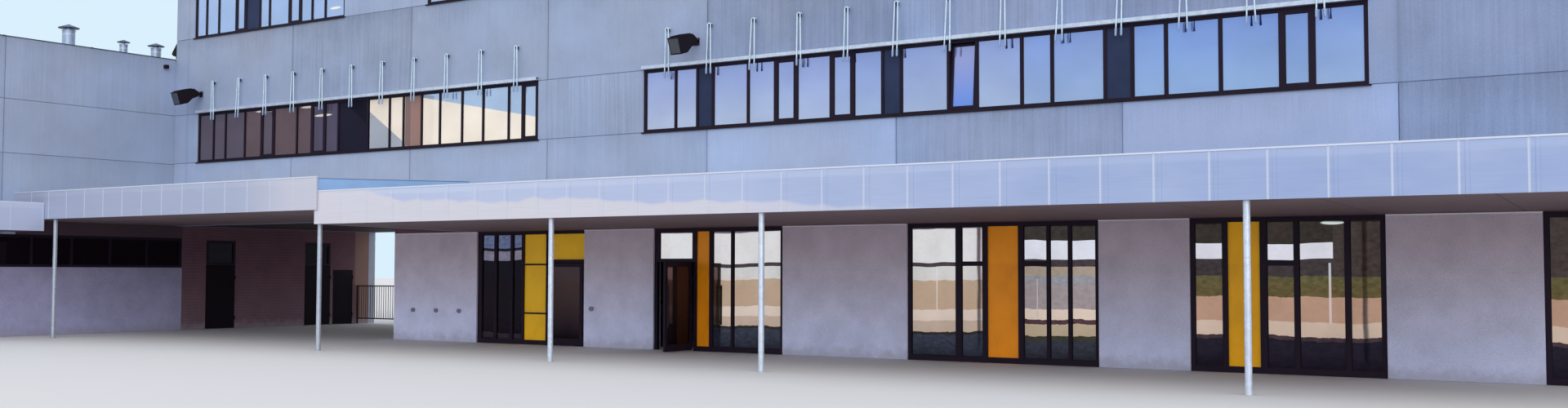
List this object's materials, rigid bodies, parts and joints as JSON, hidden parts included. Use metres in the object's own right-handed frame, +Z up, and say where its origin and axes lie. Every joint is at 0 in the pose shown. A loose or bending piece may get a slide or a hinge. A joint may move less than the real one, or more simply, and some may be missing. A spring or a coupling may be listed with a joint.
{
  "type": "school building, 1:2 scale model",
  "caption": "Three-storey precast concrete school with strip windows, a drive-through passage, a lower wing and a white-edged entrance canopy, modelled at half size.",
  "frame": {"origin": "centre of the footprint on the ground", "axes": "+X along the main front towards the party wall, +Y into the building, +Z up"},
  "size_m": [25.141, 9.766, 6.475],
  "materials": {
    "concrete": "matt precast panels",
    "render": "rendered and painted",
    "floor": "cast concrete",
    "window_frame": "satin anthracite",
    "glass": "clear float glass",
    "blank_panel": "satin slate blue",
    "yellow_panel": "satin ochre yellow",
    "dark_trim": "satin dark grey",
    "fascia": "satin white sheet",
    "soffit": "satin dark grey",
    "blue_cheek": "satin light blue",
    "galvanised": "galvanised",
    "roofing": "roofing membrane",
    "black_bars": "black",
    "door_leaf": "satin dark"
  },
  "bodies": {
    "root": {"floor_slabs": "floor", "roof_slab": "roofing", "front_wall_bands": "concrete", "front_wall_piers": "concrete", "ground_floor_piers": "render", "door_lintels": "render", "back_wall_bands": "concrete", "back_wall_piers": "concrete", "block_end_walls": "concrete", "passage_right_wall": "render", "passage_ceiling": "soffit", "wing_low_wall": "render", "passage_left_piers": "render", "store_door_lintel": "render", "wing_front_wall": "concrete", "wing_end_walls": "concrete", "wing_back_wall_bands": "concrete", "wing_back_wall_piers": "concrete", "wing_floor_slabs": "floor", "wing_roof_slab": "roofing", "parapet_copings": "dark_trim", "strip_window_frames": "window_frame", "strip_window_glass": "glass", "strip_window_blanks": "blank_panel", "tilted_sash": "window_frame", "tilted_sash_glass": "glass", "strip_window_sills": "dark_trim", "back_window_frames": "window_frame", "back_window_glass": "glass", "wing_window_frames": "window_frame", "wing_window_glass": "glass", "glazing_frames": "window_frame", "door_head_frames": "window_frame", "door_jambs": "window_frame", "glazing_glass": "glass", "yellow_panels": "yellow_panel", "canopy_fascia": "fascia", "raised_canopy_fascia": "fascia", "wing_canopy_fascia": "fascia", "canopy_soffits": "soffit", "canopy_decks": "roofing", "canopy_cheek": "blue_cheek", "wing_canopy_boards": "soffit", "canopy_columns": "galvanised", "sunshade_rails": "galvanised", "sunshade_hangers": "galvanised", "floodlights": "dark_trim", "roof_cowls": "galvanised", "passage_fence": "black_bars", "door_hinges": "dark_trim", "wall_fittings": "galvanised"},
    "entrance_leaf_1": {"entrance_door_1": "window_frame", "entrance_door_1_glass": "glass"},
    "entrance_leaf_2": {"entrance_door_2": "window_frame", "entrance_door_2_glass": "glass"},
    "passage_leaf_1": {"passage_door_1": "door_leaf"},
    "passage_leaf_2": {"passage_door_2": "door_leaf"},
    "store_leaf": {"store_door": "door_leaf"}
  },
  "joints": [
    {"name": "entrance_door_1_hinge", "type": "hinge", "parent": "root", "child": "entrance_leaf_1", "pos_m": [0.179, 0.694, 0], "axis": [0, 0, 1], "range_deg": [0, 100]},
    {"name": "entrance_door_2_hinge", "type": "hinge", "parent": "root", "child": "entrance_leaf_2", "pos_m": [1.949, 0.694, 0], "axis": [0, 0, 1], "range_deg": [-90, 10]},
    {"name": "passage_door_1_hinge", "type": "hinge", "parent": "root", "child": "passage_leaf_1", "pos_m": [-8.5565, 1.8515, 0], "axis": [0, 0, 1], "range_deg": [0, 90]},
    {"name": "passage_door_2_hinge", "type": "hinge", "parent": "root", "child": "passage_leaf_2", "pos_m": [-8.5565, 3.8415, 0], "axis": [0, 0, 1], "range_deg": [0, 90]},
    {"name": "store_door_hinge", "type": "hinge", "parent": "root", "child": "store_leaf", "pos_m": [-8.5565, 4.3515, 0], "axis": [0, 0, 1], "range_deg": [0, 90]}
  ]
}
